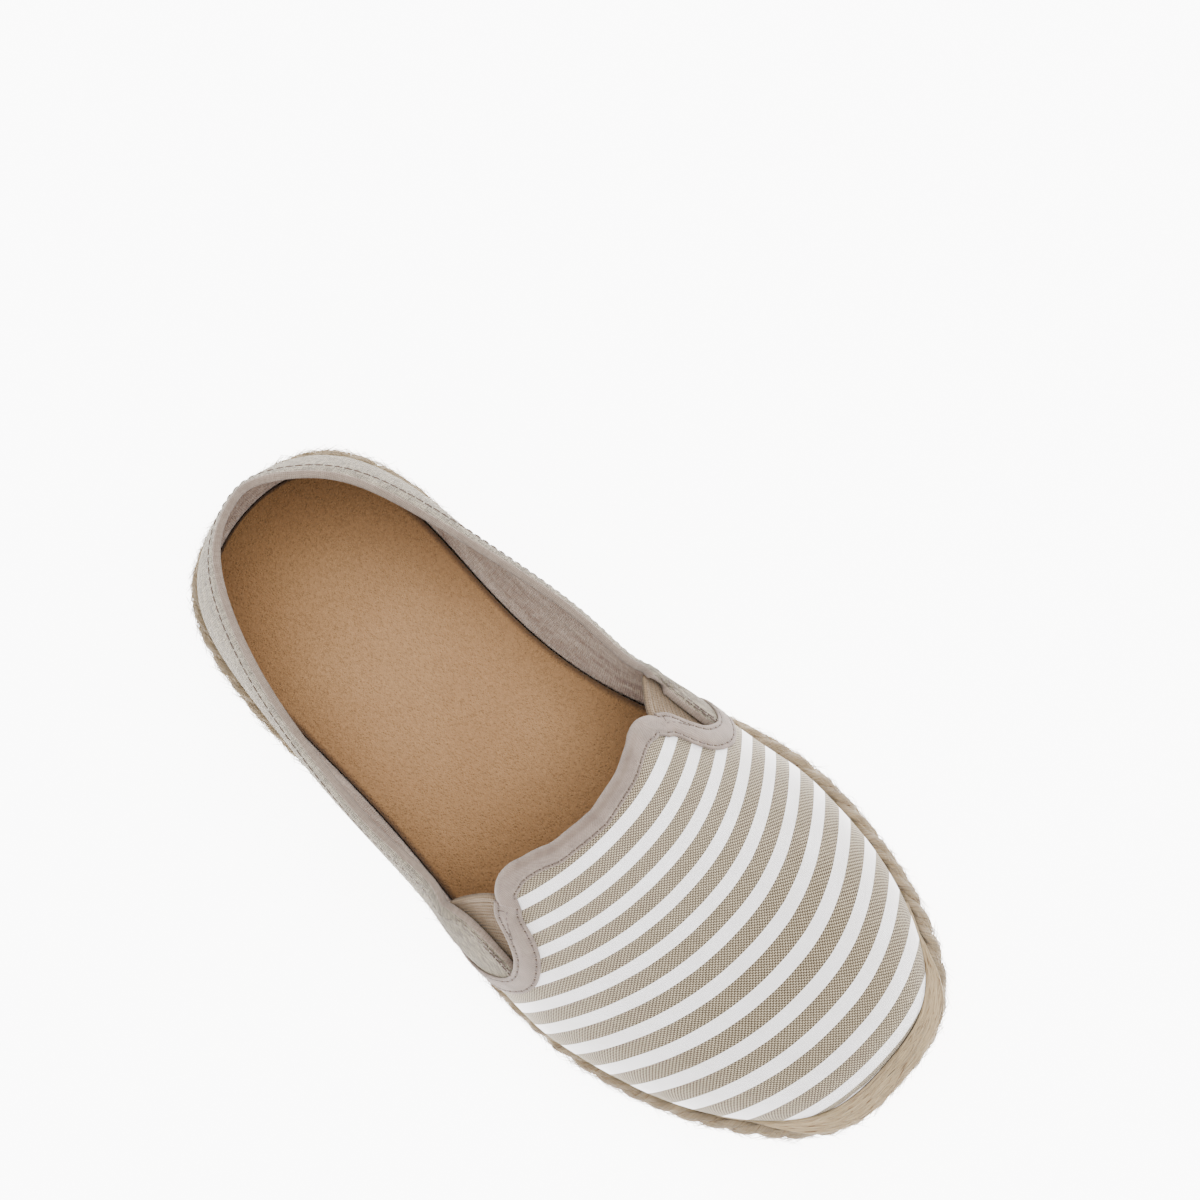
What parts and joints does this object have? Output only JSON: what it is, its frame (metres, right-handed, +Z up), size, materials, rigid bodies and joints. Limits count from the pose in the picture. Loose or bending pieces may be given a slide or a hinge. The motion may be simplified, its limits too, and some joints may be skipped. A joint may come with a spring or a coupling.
{
  "type": "espadrille",
  "caption": "Child's right slip-on espadrille: striped canvas vamp, plain linen quarters with a notch and elastic gore at each side, a jute rope sole and a thin rubber outsole.",
  "frame": {"origin": "on the floor under the middle of the shoe's bounding box", "axes": "+X from heel to toe, +Y to the wearer's left, which is the arch side of this right shoe, +Z up"},
  "size_m": [0.167, 0.0721, 0.0553],
  "materials": {
    "outsole_rubber": "matt tan rubber with a fine tread",
    "jute": "twisted jute rope, hairy and matt",
    "jute_fibre": "loose straight jute fibre",
    "insole": "smooth tan insole board with a dark edge",
    "upper_cloth": "basket-weave canvas and linen, matt",
    "binding": "folded cotton twill tape",
    "elastic": "ribbed elastic webbing"
  },
  "bodies": {
    "root": {"outsole": "outsole_rubber", "jute_midsole": "jute", "edge_rope": "jute", "toe_band": "jute_fibre", "insole": "insole", "upper": "upper_cloth", "throat_binding": "binding", "gore_binding_outer": "binding", "gore_binding_inner": "binding", "gore_outer": "elastic", "gore_inner": "elastic"}
  },
  "joints": []
}
